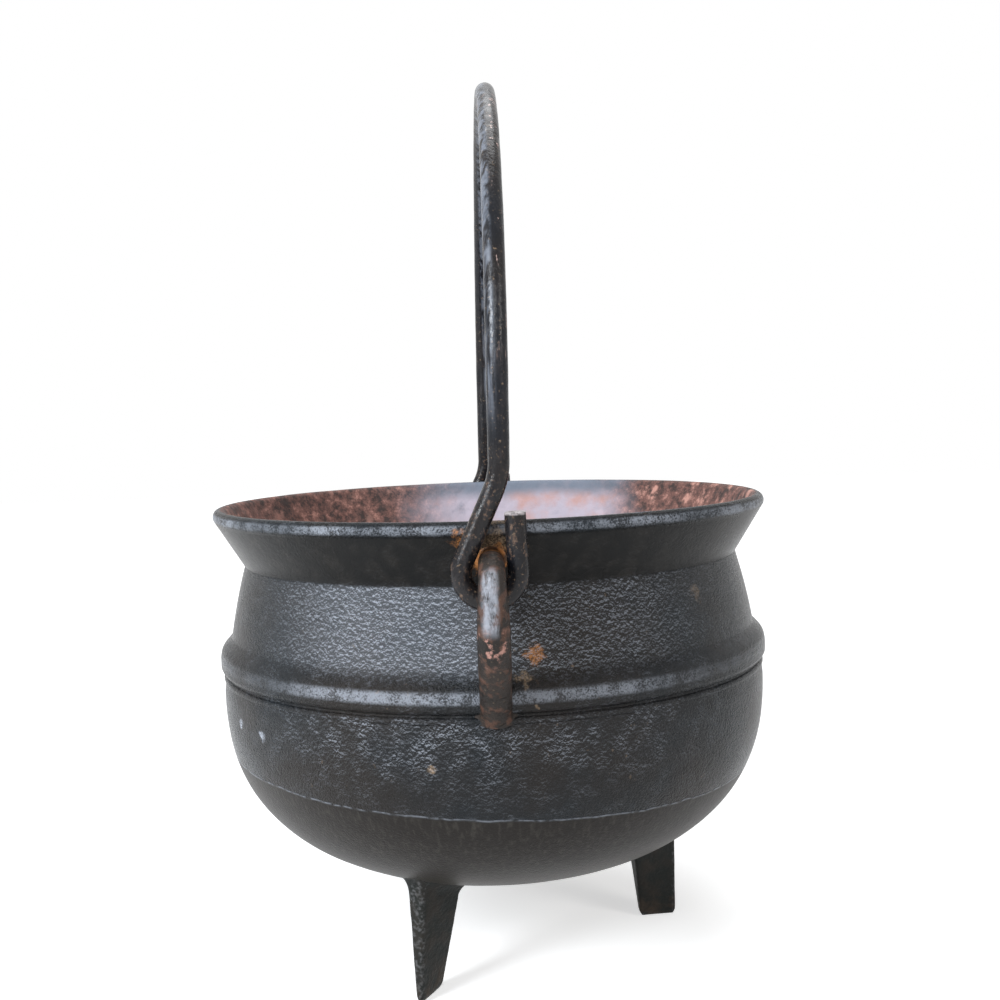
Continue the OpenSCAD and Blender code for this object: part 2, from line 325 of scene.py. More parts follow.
def end_tree(steps, geometry, material):
    """Ends a tree in real, smooth geometry with its material."""
    real = steps.add("GeometryNodeRealizeInstances", {"Geometry": geometry}).outputs[0]
    smooth = steps.add("GeometryNodeSetShadeSmooth", {"Geometry": real}).outputs[0]
    done = steps.add("GeometryNodeSetMaterial", {"Geometry": smooth, "Material": material}).outputs[0]
    steps.add("NodeGroupOutput", {"Geometry": done})


SKIN_INPUTS = [("Sag", "Float"), ("Sag Size", "Float"), ("Grain", "Float"), ("Grain Size", "Float"),
               ("Seed", "Float"), ("Along Normal", "Float"), ("Centre", "Vector")]


def skin_tree():
    """Sinks a surface unevenly, along its normals or towards a centre, as a sand mould leaves it."""
    tree, steps, given = new_tree("Uneven skin", [("Geometry", "Geometry"), *SKIN_INPUTS])
    place = steps.add("GeometryNodeInputPosition").outputs[0]
    normal = steps.add("GeometryNodeInputNormal").outputs[0]
    slow = steps.noise(place, given["Sag Size"], given["Seed"], detail=1.0)
    quick = steps.noise(place, given["Grain Size"], given["Seed"], detail=2.0)
    depth = steps.math("ADD", steps.math("MULTIPLY", slow, given["Sag"]),
                       steps.math("MULTIPLY", quick, given["Grain"]))
    towards = steps.vector("NORMALIZE", steps.vector("SUBTRACT", given["Centre"], place))
    inwards = steps.vector("SCALE", normal, -1.0)
    way = steps.add("ShaderNodeMix", {"Factor": given["Along Normal"], "A": towards, "B": inwards},
                    data_type="VECTOR")
    offset = steps.vector("SCALE", next(s for s in way.outputs if s.enabled), depth)
    moved = steps.add("GeometryNodeSetPosition", {"Geometry": given["Geometry"], "Offset": offset})
    steps.add("NodeGroupOutput", {"Geometry": moved.outputs[0]})
    return tree


def add_skin(steps, given, geometry):
    """Puts the uneven skin's tree into another one."""
    made = steps.add("GeometryNodeGroup", node_tree=bpy.data.node_groups["Uneven skin"])
    steps.feed(made, "Geometry", geometry)
    for label, _kind in SKIN_INPUTS:
        steps.feed(made, label, given[label])
    return made.outputs[0]


def turned_tree():
    """Turns an outline of points (radius, 0, height) about the Z axis."""
    inputs = [("Geometry", "Geometry"), ("Turns", "Int"), *SKIN_INPUTS, ("Material", "Material")]
    tree, steps, given = new_tree("Turned iron", inputs)
    outline = given["Geometry"]
    count = steps.add("GeometryNodeAttributeDomainSize", {"Geometry": outline}).outputs["Point Count"]
    columns = steps.math("ADD", given["Turns"], 1)
    grid = steps.add("GeometryNodeMeshGrid", {"Vertices X": count, "Vertices Y": columns}).outputs["Mesh"]
    index = steps.add("GeometryNodeInputIndex").outputs[0]
    row = steps.math("FLOOR", steps.math("DIVIDE", steps.math("ADD", index, 0.5), columns))
    column = steps.math("SUBTRACT", index, steps.math("MULTIPLY", row, columns))
    place = steps.add("GeometryNodeInputPosition").outputs[0]
    inside = steps.add("GeometryNodeInputNamedAttribute", {"Name": "inside"}, data_type="FLOAT").outputs[0]
    point = steps.add("GeometryNodeSampleIndex", data_type="FLOAT_VECTOR", domain="POINT")
    depth = steps.add("GeometryNodeSampleIndex", data_type="FLOAT", domain="POINT")
    for sample, value in ((point, place), (depth, inside)):
        for name, fed in (("Geometry", outline), ("Value", value), ("Index", row)):
            steps.feed(sample, name, fed)
    split = steps.add("ShaderNodeSeparateXYZ", {0: point.outputs[0]}).outputs
    turn = steps.math("DIVIDE", steps.math("MULTIPLY", column, 2 * math.pi), given["Turns"])
    across = steps.math("MULTIPLY", split[0], steps.math("COSINE", turn))
    along = steps.math("MULTIPLY", split[0], steps.math("SINE", turn))
    round_place = steps.add("ShaderNodeCombineXYZ", {0: across, 1: along, 2: split[2]}).outputs[0]
    kept = steps.add("GeometryNodeStoreNamedAttribute",
                     {"Geometry": grid, "Name": "inside", "Value": depth.outputs[0]},
                     data_type="FLOAT", domain="POINT").outputs[0]
    placed = steps.add("GeometryNodeSetPosition", {"Geometry": kept, "Position": round_place}).outputs[0]
    merged = steps.add("GeometryNodeMergeByDistance", {"Geometry": placed, "Distance": 1e-6}).outputs[0]
    end_tree(steps, add_skin(steps, given, merged), given["Material"])
    return tree


def cast_tree():
    """Gives a piece that is already built the uneven skin and its material."""
    inputs = [("Geometry", "Geometry"), *SKIN_INPUTS, ("Material", "Material")]
    tree, steps, given = new_tree("Cast piece", inputs)
    end_tree(steps, add_skin(steps, given, given["Geometry"]), given["Material"])
    return tree


def rod_tree():
    """Sweeps round bar along a path of points, and dishes its two cut ends."""
    inputs = [("Geometry", "Geometry"), ("Sides", "Int"), ("End Round", "Float"), ("End Dish", "Float"),
              *SKIN_INPUTS, ("Material", "Material")]
    tree, steps, given = new_tree("Forged rod", inputs)
    path = steps.add("GeometryNodeMeshToCurve", {"Mesh": given["Geometry"]}).outputs[0]
    thick = steps.add("GeometryNodeInputNamedAttribute", {"Name": "thick"}, data_type="FLOAT").outputs[0]
    ring = steps.add("GeometryNodeCurvePrimitiveCircle", {"Resolution": given["Sides"], "Radius": 1.0},
                     mode="RADIUS").outputs[0]
    shape = steps.add("GeometryNodeCurveToMesh",
                      {"Curve": path, "Profile Curve": ring, "Scale": thick, "Fill Caps": True}).outputs[0]
    corners = steps.add("GeometryNodeInputMeshFaceNeighbors").outputs["Vertex Count"]
    chosen = steps.math("GREATER_THAN", corners, 4)
    cuts = (
        (given["End Round"], 0.86),
        (0.0, 0.80),
        (steps.math("MULTIPLY", given["End Dish"], -0.7), 0.66),
        (steps.math("MULTIPLY", given["End Dish"], -0.3), 0.45),
    )
    for reach, scale in cuts:
        pulled = steps.add("GeometryNodeExtrudeMesh",
                           {"Mesh": shape, "Selection": chosen, "Offset Scale": reach, "Individual": True},
                           mode="FACES")
        chosen = pulled.outputs["Top"]
        shape = steps.add("GeometryNodeScaleElements",
                          {"Geometry": pulled.outputs["Mesh"], "Selection": chosen, "Scale": scale},
                          domain="FACE").outputs[0]
    end_tree(steps, add_skin(steps, given, shape), given["Material"])
    return tree


def use_tree(piece, tree_name, **values):
    """Puts a tree on a piece as a modifier, with its named inputs set before it is evaluated."""
    tree = bpy.data.node_groups[tree_name]
    modifier = piece.modifiers.new(tree_name, "NODES")
    modifier.node_group = tree
    wanted = {name.replace("_", " ").title(): value for name, value in values.items()}
    for socket in tree.interface.items_tree:
        if socket.item_type == "SOCKET" and socket.in_out == "INPUT" and socket.name in wanted:
            modifier[socket.identifier] = wanted.pop(socket.name)
    if wanted:
        raise RuntimeError(f"{tree_name} has no input named {sorted(wanted)}")


def make_plain(piece, sharp_over=50):
    """Turns a piece's evaluated shape into its own plain mesh, with only its true corners sharp."""
    graph = bpy.context.evaluated_depsgraph_get()
    mesh = bpy.data.meshes.new_from_object(piece.evaluated_get(graph))
    piece.modifiers.clear()
    rough = piece.data
    piece.data = mesh
    bpy.data.meshes.remove(rough)
    shape = bmesh.new()
    shape.from_mesh(mesh)
    bmesh.ops.dissolve_degenerate(shape, dist=1e-7, edges=shape.edges)
    loose = [edge for edge in shape.edges if not edge.link_faces]
    bmesh.ops.delete(shape, geom=loose, context="EDGES")
    shape.to_mesh(mesh)
    shape.free()
    mesh.name = piece.name
    mesh.shade_smooth()
    mesh.set_sharp_from_angle(angle=math.radians(sharp_over))
    return piece


def new_piece(name, points, edges=(), faces=()):
    """A piece at the origin with the given mesh."""
    mesh = bpy.data.meshes.new(name)
    mesh.from_pydata([tuple(point) for point in points], list(edges), list(faces))
    piece = bpy.data.objects.new(name, mesh)
    bpy.context.scene.collection.objects.link(piece)
    return piece


def keep_values(piece, name, values):
    """Keeps one number at each point of a piece, for its tree and its material."""
    kept = piece.data.attributes.new(name, "FLOAT", "POINT")
    kept.data.foreach_set("value", np.asarray(values, dtype=np.float32))


def settle(piece, body, slot, *nodes):
    """Says what a finished piece rides on and which packed nodes it stands for, and hides those nodes; slot
    is not used.
    """
    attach(piece, body)
    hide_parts(*nodes)


def even_points(points, step):
    """The same line with points at even distances, about step apart, and the same ends."""
    points = np.asarray(points, dtype=float)
    passed = np.concatenate([[0], np.cumsum(np.linalg.norm(np.diff(points, axis=0), axis=1))])
    count = max(2, round(passed[-1] / step) + 1)
    at = np.linspace(0, passed[-1], count)
    return np.stack([np.interp(at, passed, points[:, k]) for k in range(points.shape[1])], axis=1)


def shoulder_line(body, inset):
    """The shoulder from the neck's crease down to the rib's top edge, as (radius, height)."""
    t = np.linspace(0, 1, 30)
    radius = (body.neck_radius - inset + (body.shoulder_radius - body.neck_radius) * t
              + 4 * body.shoulder_swell * t * (1 - t))
    return np.stack([radius, body.neck_level + (RIB_HIGH.z - body.neck_level) * t], axis=1)


def belly_line(body, inset):
    """The belly from its widest place down to the middle of the bottom."""
    turn = np.linspace(0, math.pi / 2, 500)
    power = 2 / body.belly_fullness
    reach = body.belly_radius - inset
    depth = body.belly_level - BOWL_LOW.z - inset
    radius = reach * np.clip(np.cos(turn), 0, 1) ** power
    height = body.belly_level - depth * np.sin(turn) ** power
    radius[-1] = 0
    return np.stack([radius, height], axis=1)


def side_line(body, inset):
    """The whole side of the pot under the neck, from the crease down to the middle of the bottom."""
    band = [[body.band_radius - inset, RIB_LOW.z]]
    return np.concatenate([shoulder_line(body, inset), band, belly_line(body, inset)])


def lip_line(body):
    """The flare from the neck's crease up, round the lip and down inside, as (radius, height)."""
    centre = Vector((body.rim_radius - body.lip_round, body.rim_level - body.lip_round))
    outer_run = centre - Vector((body.neck_radius, body.neck_level))
    inner_run = centre - Vector((body.neck_radius - body.wall, body.neck_level))
    start = math.atan2(outer_run.y, outer_run.x) - math.asin(body.lip_round / outer_run.length)
    end = math.atan2(inner_run.y, inner_run.x) + math.asin(body.lip_round / inner_run.length) + math.pi
    turns = np.linspace(start - math.pi / 2, end - math.pi / 2, 40)
    bend = np.stack([centre.x + body.lip_round * np.cos(turns),
                     centre.y + body.lip_round * np.sin(turns)], axis=1)
    return np.concatenate([[[body.neck_radius, body.neck_level]], bend,
                           [[body.neck_radius - body.wall, body.neck_level]]])


def skin_distance(body, places):
    """How far each place lies outside the pot's plain skin, and the skin's outward slope there."""
    outline = np.concatenate([lip_line(body)[:30][::-1], side_line(body, 0)[1:]])
    radius = np.hypot(places[:, 0], places[:, 1])
    flat = np.stack([radius, places[:, 2]], axis=1)
    a, b = outline[:-1], outline[1:]
    run = b - a
    size = np.maximum((run ** 2).sum(1), 1e-18)
    best = np.full(len(flat), np.inf)
    normal = np.zeros_like(flat)
    for start, step, square in zip(a, run, size):
        t = np.clip(((flat - start) @ step) / square, 0, 1)
        apart = flat - (start + t[:, None] * step)
        gap = np.hypot(apart[:, 0], apart[:, 1])
        closer = gap < best
        best[closer] = gap[closer]
        outward = np.array([-step[1], step[0]]) / math.sqrt(square)
        normal[closer] = outward
    order = np.argsort(outline[:, 1])
    skin_radius = np.interp(flat[:, 1], outline[order, 1], outline[order, 0])
    below = flat[:, 1] < outline[-1, 1]
    outside = (radius > skin_radius) | below
    return np.where(outside, best, -best), normal, radius


def grow_from_skin(body, places, centres, fillet, sunk):
    """Flares a piece where it leaves the pot's skin, and keeps what lies in the wall near the skin."""
    gap, normal, radius = skin_distance(body, places)
    near = np.clip(gap + SUNK_SKIN, 0, fillet)
    push = fillet - np.sqrt(np.maximum(fillet ** 2 - (fillet - near) ** 2, 0))
    round_way = places[:, :2] / np.maximum(radius, 1e-9)[:, None]
    outward = np.column_stack([round_way * normal[:, :1], normal[:, 1]])
    away = places - centres
    away /= np.maximum(np.linalg.norm(away, axis=1), 1e-9)[:, None]
    away -= (away * outward).sum(1)[:, None] * outward
    grown = places + away * push[:, None]
    gap, normal, radius = skin_distance(body, grown)
    deep = gap < -sunk
    lift = np.where(deep, -sunk - gap, 0)
    round_way = grown[:, :2] / np.maximum(radius, 1e-9)[:, None]
    grown[:, :2] += round_way * (normal[:, 0] * lift)[:, None]
    grown[:, 2] += normal[:, 1] * lift
    return grown


def turned_piece(name, outline, inside, context, material, seed):
    """A closed piece turned from a closed outline, with how far inside the pot each point lies."""
    body, skin = context.scene.pot_body, context.scene.pot_skin
    area = np.sum(outline[:, 0] * np.roll(outline[:, 1], -1) - np.roll(outline[:, 0], -1) * outline[:, 1])
    if area > 0:
        outline, inside = outline[::-1], inside[::-1]
    points = [(radius, 0, height) for radius, height in outline]
    edges = [(k, k + 1) for k in range(len(points) - 1)]
    piece = new_piece(name, points, edges)
    keep_values(piece, "inside", inside)
    use_tree(piece, "Turned iron", turns=body.turns, sag=skin.sag, sag_size=skin.sag_size,
             grain=skin.grain, grain_size=skin.grain_size, seed=seed, along_normal=0.0,
             centre=(0, 0, body.belly_level), material=material)
    return make_plain(piece)


class Finish:
    """A material built on Object coordinates, with the pot's own measures at hand."""

    def __init__(self, name):
        self.material = bpy.data.materials.new(name)
        self.material.use_nodes = True
        tree = self.material.node_tree
        tree.nodes.clear()
        self.steps = Nodes(tree)
        self.place = self.steps.add("ShaderNodeTexCoord").outputs["Object"]
        self.x, self.y, self.z = self.steps.add("ShaderNodeSeparateXYZ", {0: self.place}).outputs
        self.radius = self.steps.vector("LENGTH", self.steps.vector("MULTIPLY", self.place, (1, 1, 0)))

    def stretched(self, tall):
        """Coordinates that draw a noise out along Z."""
        return self.steps.vector("MULTIPLY", self.place, (1, 1, 1 / tall))

    def close(self, colour, roughness, height, bump, specular=0.5, metallic=0.0):
        """Ends the material in one surface shader with a bump."""
        steps = self.steps
        bumped = steps.add("ShaderNodeBump", {"Strength": 1.0, "Distance": bump, "Height": height})
        surface = steps.add("ShaderNodeBsdfPrincipled", {"Base Color": colour, "Roughness": roughness,
                                                         "Metallic": metallic, "Specular IOR Level": specular,
                                                         "Normal": bumped.outputs[0]})
        steps.add("ShaderNodeOutputMaterial", {"Surface": surface.outputs[0]})
        return self.material


def pot_finish(context, name, shine):
    """Black sand-cast iron outside, with painted sheen and painted highlights on the shoulder, lip and rib,
    and with rust and a pale film inside.
    """
    c, skin = context.scene.pot_colours, context.scene.pot_skin
    body = context.scene.pot_body
    f = Finish(name)
    s, p = f.steps, f.place
    inside = s.add("ShaderNodeAttribute", attribute_name="inside").outputs["Fac"]
    fine = s.noise(p, skin.peel_size, 1.0, detail=2.5, roughness=0.55)
    finer = s.noise(p, skin.peel_size * 0.5, 2.0, detail=2.0)
    medium = s.noise(p, 6 * MM, 3.0, detail=3.0)
    broad = s.noise(p, 38 * MM, 4.0, detail=3.0)
    streak = s.noise(f.stretched(9.0), 1.6 * MM, 5.0, detail=3.0, roughness=0.6)

    parting = s.math("MULTIPLY_ADD", f.x, -0.05, 83.6 * MM)
    wander = s.math("MULTIPLY", s.math("SUBTRACT", s.noise(p, 9 * MM, 6.0), 0.5), 2.2 * MM)
    over_parting = s.math("ADD", s.math("SUBTRACT", f.z, parting), wander)
    lower = s.between(over_parting, 0.4 * MM, -0.8 * MM)
    under_flare = s.band(f.z, body.neck_level - 0.4 * MM, body.neck_level + 0.4 * MM,
                         body.rim_level - 6 * MM, body.rim_level - 4 * MM)

    black = s.mix(s.between(broad, 0.35, 0.7), c.black, c.brown)
    grains = s.math("ADD", s.math("MULTIPLY", fine, 0.5), s.math("MULTIPLY", finer, 0.5))
    # Painted highlight: the sides of the grains that face up, found from the grain a little higher, are laid
    # pale as if lit from above.
    above = s.vector("ADD", p, (0.0, 0.0, 0.32 * MM))
    fine_above = s.noise(above, skin.peel_size, 1.0, detail=2.5, roughness=0.55)
    lit_grain_tops = s.between(s.math("SUBTRACT", fine, fine_above), -0.02, 0.12)
    # Painted sheen: the shoulder, and sparsely the belly under the rib, are laid pale towards the front, most
    # on the left and less on the right, over a little pale dust everywhere.
    shoulder = s.band(f.z, 131 * MM, 139 * MM, 162 * MM, 167 * MM)
    under_rib = s.band(f.z, 92 * MM, 112 * MM, 119 * MM, 121 * MM)
    left = s.band(f.x, -92 * MM, -46 * MM, -6 * MM, 12 * MM)
    right = s.math("MULTIPLY", s.between(f.x, -6 * MM, 12 * MM), s.between(f.x, 86 * MM, 44 * MM, 0.0, 0.55))
    sparse = s.between(medium, 0.40, 0.62, 0.15, 0.62)
    rubbed_and_sheen = s.math("MULTIPLY", s.math("MAXIMUM", shoulder, s.math("MULTIPLY", under_rib, sparse)),
                    s.math("ADD", left, right))
    rubbed_and_sheen = s.math("MULTIPLY_ADD", rubbed_and_sheen, 0.52, s.between(medium, 0.42, 0.68, 0.01, 0.11))
    # Painted sheen: a faint pale wash over the front-left shoulder.
    black = s.lay(black, c.dust_and_sheen, s.math("MULTIPLY", shoulder, left), 0.10)
    # Painted sheen and painted highlight, with a little dust: pale on the up-facing grain sides where the
    # sheen mask is.
    black = s.lay(black, c.dust_and_sheen, lit_grain_tops, rubbed_and_sheen)
    # Painted highlights: broken pale bands along the lip's top and the rib's lower bulge, strongest to the
    # front.
    lip = s.band(f.z, body.rim_level - 5.2 * MM, body.rim_level - 3.6 * MM,
                 body.rim_level - 2.0 * MM, body.rim_level - 1.0 * MM)
    rib = s.band(f.z, 124.8 * MM, 126.6 * MM, 128.8 * MM, 130.6 * MM)
    rib = s.math("MULTIPLY", rib, s.math("ADD", s.math("ADD", left, right), 0.18, clamp=True))
    edges = s.math("MAXIMUM", lip, rib)
    chafed_and_highlight = s.between(s.math("ADD", finer, s.math("MULTIPLY", medium, 0.8)), 0.72, 1.02, 0.12, 1.0)
    chafed_and_highlight = s.math("MULTIPLY", chafed_and_highlight, s.between(broad, 0.34, 0.56, 0.45, 1.0))
    black = s.lay(black, c.dust_and_sheen, s.math("MULTIPLY", edges, chafed_and_highlight), 0.50)
    freckle = s.math("MULTIPLY", s.between(s.noise(p, 2.4 * MM, 7.0), 0.68, 0.8), s.between(broad, 0.5, 0.62))
    black = s.lay(black, c.tan, freckle, 0.30)
    scoured = s.mix(s.between(streak, 0.45, 0.8), c.brown, c.olive)
    bottom = s.between(f.z, 66 * MM, 44 * MM)
    scoured = s.lay(scoured, c.olive, bottom, 0.8)
    outer = s.mix(lower, black, scoured)
    seam = s.math("MULTIPLY", s.between(s.math("ABSOLUTE", over_parting), 0.55 * MM, 0.15 * MM),
                  s.between(s.noise(p, 3 * MM, 8.0), 0.35, 0.6))
    outer = s.lay(outer, c.dust_and_sheen, seam, 0.35)
    flare_black = s.mix(s.between(medium, 0.4, 0.8), c.flare_dark, c.flare_pale)
    outer = s.lay(outer, flare_black, under_flare, 0.85)

    ragged = s.noise(p, 3.2 * MM, 9.0, detail=3.0)
    stains = (
        ((-9.2, -113.2, 181.0), 4.6, c.rust, 0.8),
        ((2.0, -110.5, 182.0), 9.5, c.tan, 0.75),
        ((1.0, -108.0, 174.5), 8.0, c.rust, 0.85),
        ((13.0, -107.9, 140.9), 4.2, c.rust, 0.55),
        ((10.2, -113.8, 133.7), 5.0, c.tan, 0.42),
        ((-22.7, -110.7, 103.4), 1.6, c.tan, 0.5),
        ((-98.3, -56.3, 108.0), 2.2, c.dust_and_sheen, 0.8),
        ((-87.6, -72.0, 106.6), 2.4, c.dust_and_sheen, 0.8),
        ((75.0, -74.0, 156.0), 4.2, c.tan, 0.20),
    )
    for centre, radius, stain, strength in stains:
        middle = tuple(value * MM for value in centre)
        patch = s.spot(p, middle, radius * MM, ragged)
        speckled = s.math("MULTIPLY", patch, s.between(finer, 0.38, 0.62, 0.25, 1.0))
        outer = s.lay(outer, stain, speckled, strength)

    film = s.noise(p, 22 * MM, 10.0, detail=6.0, roughness=0.62)
    haze = s.mix(s.between(film, 0.47, 0.68, 0.0, 0.7), c.haze, c.salmon)
    haze = s.mix(s.between(film, 0.46, 0.30, 0.0, 0.75), haze, c.slate)
    haze = s.mix(s.between(s.math("ADD", f.z, s.math("MULTIPLY", broad, 8 * MM)), 182 * MM, 189 * MM),
                 haze, c.slate)
    crust = s.noise(p, 5.5 * MM, 11.0, detail=7.0, roughness=0.78)
    reds = s.mix(s.between(crust, 0.43, 0.60), c.red, c.crust)
    reds = s.mix(s.between(crust, 0.46, 0.36, 0.0, 0.6), reds, c.salmon)
    bare = s.noise(p, 13 * MM, 12.0, detail=6.0, roughness=0.65)
    bright_side = s.between(f.x, 20 * MM, 60 * MM, 0.35, 0.95)
    reds = s.lay(reds, c.salmon, s.between(bare, 0.54, 0.64), bright_side)
    sideways = s.math("ADD", f.x, s.math("MULTIPLY", s.math("SUBTRACT", broad, 0.5), 60 * MM))
    filmed = s.band(sideways, -50 * MM, -8 * MM, 48 * MM, 78 * MM)
    inner = s.lay(reds, haze, filmed, 0.9)
    deep = s.between(f.z, body.neck_level, body.neck_level - 60 * MM)
    inner = s.lay(inner, reds, deep, 0.6)

    edge = s.math("ADD", inside, s.math("MULTIPLY", s.math("SUBTRACT", medium, 0.5), 0.35))
    within = s.between(edge, 0.42, 0.58)
    shade = s.mix(within, outer, inner)
    gloss = s.blend(s.between(broad, 0.3, 0.7), 0.23, 0.30)
    gloss = s.blend(lower, gloss, 0.42)
    gloss = s.blend(within, gloss, 0.52)
    soft = s.math("SUBTRACT", 1.0, s.math("MULTIPLY", s.math("MAXIMUM", lower, under_flare), 0.72))
    height = s.math("MULTIPLY", grains, soft)
    height = s.math("ADD", height, s.math("MULTIPLY", seam, 0.7))
    height = s.blend(within, height, s.math("MULTIPLY", medium, 0.8))
    return f.close(shade, gloss, height, skin.peel, specular=shine)


def ear_finish(context):
    """Cast iron, bright at the elbow with bare metal rubbed by the bail and a painted highlight, and rusty
    where water stands.
    """
    c, skin = context.scene.pot_colours, context.scene.pot_skin
    f = Finish("ear iron")
    s, p = f.steps, f.place
    fine = s.noise(p, 1.3 * MM, 21.0, detail=2.5)
    medium = s.noise(p, 4.5 * MM, 22.0, detail=3.5, roughness=0.6)
    broad = s.noise(p, 12 * MM, 23.0, detail=2.0)
    shade = s.mix(s.between(broad, 0.35, 0.65), c.brown, c.ear_brown)
    shade = s.lay(shade, c.ear_rust, s.between(medium, 0.50, 0.62), 0.75)
    shade = s.lay(shade, c.tan, s.between(fine, 0.62, 0.8), 0.35)
    away = s.math("ABSOLUTE", f.y)
    # Bare metal rubbed by the bail and a painted highlight: a pale, streaky stripe on the front of the elbow.
    elbow = s.math("MULTIPLY", s.between(f.z, 151 * MM, 156 * MM), s.between(away, 131 * MM, 133.5 * MM))
    stripe = s.between(s.math("ABSOLUTE", s.math("ADD", f.x, 0.9 * MM)), 3.6 * MM, 1.4 * MM)
    scuffs = s.noise(f.stretched(2.6), 1.8 * MM, 24.0, detail=5.0, roughness=0.65)
    chips = s.noise(p, 3.4 * MM, 25.0, detail=6.0, roughness=0.7)
    rubbed_and_sheen = s.math("MULTIPLY", s.math("MULTIPLY", elbow, stripe), s.between(scuffs, 0.32, 0.56))
    shade = s.lay(shade, c.ear_bare_and_highlight, rubbed_and_sheen, 0.72)
    root = s.math("MULTIPLY", s.between(away, 119 * MM, 113 * MM), s.between(f.z, 166 * MM, 172 * MM))
    shade = s.lay(shade, c.rust, root, s.between(medium, 0.40, 0.62, 0.08, 0.72))
    pinks = s.band(f.z, 138 * MM, 147 * MM, 151 * MM, 156 * MM)
    front = s.between(away, 129.5 * MM, 132.5 * MM)
    pink = s.math("MULTIPLY", s.math("MULTIPLY", pinks, front), s.between(chips, 0.52, 0.62))
    shade = s.lay(shade, c.salmon, pink, 0.7)
    gloss = s.between(rubbed_and_sheen, 0.0, 1.0, 0.46, 0.34)
    height = s.math("ADD", s.math("MULTIPLY", fine, 0.4), s.math("MULTIPLY", medium, 0.9))
    return f.close(shade, gloss, height, skin.peel, specular=0.2)


def leg_finish(context):
    """Dark scaled iron with a green cast, speckled on the narrow outer edge."""
    c, skin = context.scene.pot_colours, context.scene.pot_skin
    f = Finish("leg iron")
    s, p = f.steps, f.place
    fine = s.noise(p, 1.4 * MM, 31.0, detail=2.5)
    medium = s.noise(p, 6 * MM, 32.0, detail=3.0)
    shade = s.mix(s.between(medium, 0.35, 0.7), c.leg_green, c.leg_brown)
    outer = s.between(f.radius, 74.6 * MM, 76.0 * MM)
    speckle = s.math("MULTIPLY", outer, s.between(fine, 0.45, 0.7))
    shade = s.lay(shade, c.leg_speckle, speckle, 0.45)
    foot = s.math("MULTIPLY", s.between(f.z, 14 * MM, 2 * MM), s.between(medium, 0.4, 0.65))
    shade = s.lay(shade, c.foot_brown, foot, 0.5)
    height = s.math("ADD", s.math("MULTIPLY", fine, 0.45), s.math("MULTIPLY", medium, 0.9))
    return f.close(shade, 0.55, height, skin.peel, specular=0.13)


def bail_finish(context):
    """Forged rod with grey scale, a painted highlight streak, salmon bare places and rust by the eyes."""
    c = context.scene.pot_colours
    f = Finish("bail iron")
    s, p = f.steps, f.place
    fine = s.noise(p, 1.1 * MM, 41.0, detail=3.0)
    medium = s.noise(f.stretched(2.4), 3.2 * MM, 42.0, detail=4.0, roughness=0.6)
    streak = s.noise(f.stretched(7.0), 2.2 * MM, 43.0, detail=4.0, roughness=0.62)
    broad = s.noise(p, 30 * MM, 44.0)
    shade = s.mix(s.between(broad, 0.35, 0.65), c.rod_blue, c.rod_brown)
    shade = s.lay(shade, c.rod_scale, s.between(medium, 0.5, 0.72), 0.45)
    shade = s.lay(shade, c.tan, s.between(fine, 0.6, 0.75), 0.30)
    bare = s.between(streak, 0.60, 0.66)
    high = s.math("MULTIPLY", s.between(f.z, 225 * MM, 262 * MM), s.between(f.x, 3 * MM, 5.5 * MM))
    # Painted highlight: a pale blue streak down the left side of the rod's front leg.
    highlight_streaks = s.noise(f.stretched(14.0), 2.6 * MM, 46.0, detail=4.0, roughness=0.6)
    front_highlight = s.band(f.x, -0.6 * MM, 0.8 * MM, 2.4 * MM, 4.0 * MM)
    front_highlight = s.math("MULTIPLY", front_highlight, s.between(f.z, 214 * MM, 240 * MM))
    front_highlight = s.math("MULTIPLY", front_highlight, s.between(highlight_streaks, 0.40, 0.60))
    shade = s.lay(shade, c.rod_highlight, front_highlight, 0.5)
    shade = s.lay(shade, c.rod_bare, s.math("MULTIPLY", bare, high), 0.8)
    low = s.between(f.z, 215 * MM, 195 * MM)
    freckles = s.noise(p, 1.7 * MM, 45.0, detail=4.0, roughness=0.7)
    freckles = s.math("ADD", freckles, s.math("MULTIPLY", medium, 0.5))
    rusty = s.math("MULTIPLY", low, s.between(freckles, 0.80, 0.92))
    shade = s.lay(shade, c.eye_rust, rusty, 0.5)
    tips = s.band(f.z, 189.9 * MM, 190.6 * MM, 192 * MM, 193 * MM)
    tips = s.math("MULTIPLY", tips, s.math("GREATER_THAN", f.x, 3 * MM))
    shade = s.lay(shade, c.tip_bare, tips, s.between(fine, 0.3, 0.6, 0.2, 0.9))
    crown = s.spot(p, (3.0 * MM, -60 * MM, 333 * MM), 6 * MM, medium)
    shade = s.lay(shade, c.crown_bare, crown, 0.85)
    gloss = s.between(medium, 0.35, 0.7, 0.20, 0.38)
    height = s.math("ADD", s.math("MULTIPLY", fine, 0.3), s.math("MULTIPLY", medium, 1.0))
    return f.close(shade, gloss, height, 0.4 * MM, specular=0.20)


class Pen:
    """Walks a path of straight runs and round bends, and leaves a point at each even step."""

    def __init__(self, place, heading, step):
        self.place, self.heading, self.step = Vector(place), Vector(heading).normalized(), step
        self.points = [self.place.copy()]

    def run(self, distance):
        start, count = self.place.copy(), max(1, round(distance / self.step))
        for k in range(1, count + 1):
            self.points.append(start + self.heading * (distance * k / count))
        self.place = self.points[-1].copy()

    def bend(self, radius, turn, axis):
        centre = self.place + axis.cross(self.heading) * radius
        spoke, count = self.place - centre, max(2, round(radius * turn / self.step))
        for k in range(1, count + 1):
            self.points.append(centre + Matrix.Rotation(turn * k / count, 3, axis) @ spoke)
        self.place = self.points[-1].copy()
        self.heading = Matrix.Rotation(turn, 3, axis) @ self.heading


